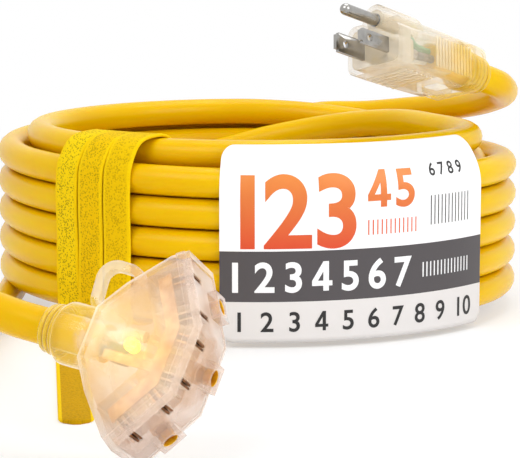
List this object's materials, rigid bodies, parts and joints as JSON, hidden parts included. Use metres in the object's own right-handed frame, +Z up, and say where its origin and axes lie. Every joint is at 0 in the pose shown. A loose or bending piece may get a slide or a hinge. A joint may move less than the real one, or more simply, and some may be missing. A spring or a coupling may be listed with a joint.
{
  "type": "extension cord",
  "caption": "Coiled heavy yellow extension cord with a clear grounded plug, a clear fan-shaped outlet tap, a hook-and-loop tie and a printed wrap.",
  "frame": {"origin": "on the floor, under the middle of the box round the ends and wraps, without the cord itself", "axes": "+X to the right, +Y from the tap towards the coil, +Z up; the coil's axis is vertical"},
  "size_m": [0.2307, 0.4385, 0.1355],
  "materials": {
    "cord_jacket": "smooth, slightly glossy vinyl",
    "strap": "woven hook-and-loop",
    "label": "printed, satin",
    "clear_housing": "clear moulded plastic",
    "clear_insert": "clear moulded plastic",
    "blades": "nickel plate",
    "brass": "stamped brass",
    "tinned_brass": "tin plate",
    "black_insulation": "smooth",
    "white_insulation": "smooth",
    "green_insulation": "smooth",
    "lamp_glass": "glowing lamp",
    "resistor": "lacquered"
  },
  "bodies": {
    "root": {"cord_coil": "cord_jacket", "plug_lead": "cord_jacket", "tap_lead": "cord_jacket", "tie_strap": "strap", "label": "label", "plug_housing": "clear_housing", "plug_insert": "clear_insert", "hot_blade": "blades", "neutral_blade": "blades", "ground_pin": "blades", "plug_cord_end": "cord_jacket", "plug_hot_wire": "black_insulation", "plug_neutral_wire": "white_insulation", "plug_ground_wire": "green_insulation", "tap_housing": "clear_housing", "outlet_block": "clear_insert", "hot_bus": "brass", "neutral_bus": "tinned_brass", "ground_bus": "brass", "tap_cord_end": "cord_jacket", "tap_hot_wire": "black_insulation", "tap_neutral_wire": "white_insulation", "tap_ground_wire": "green_insulation", "lamp": "lamp_glass", "lamp_resistor": "resistor"}
  },
  "joints": []
}
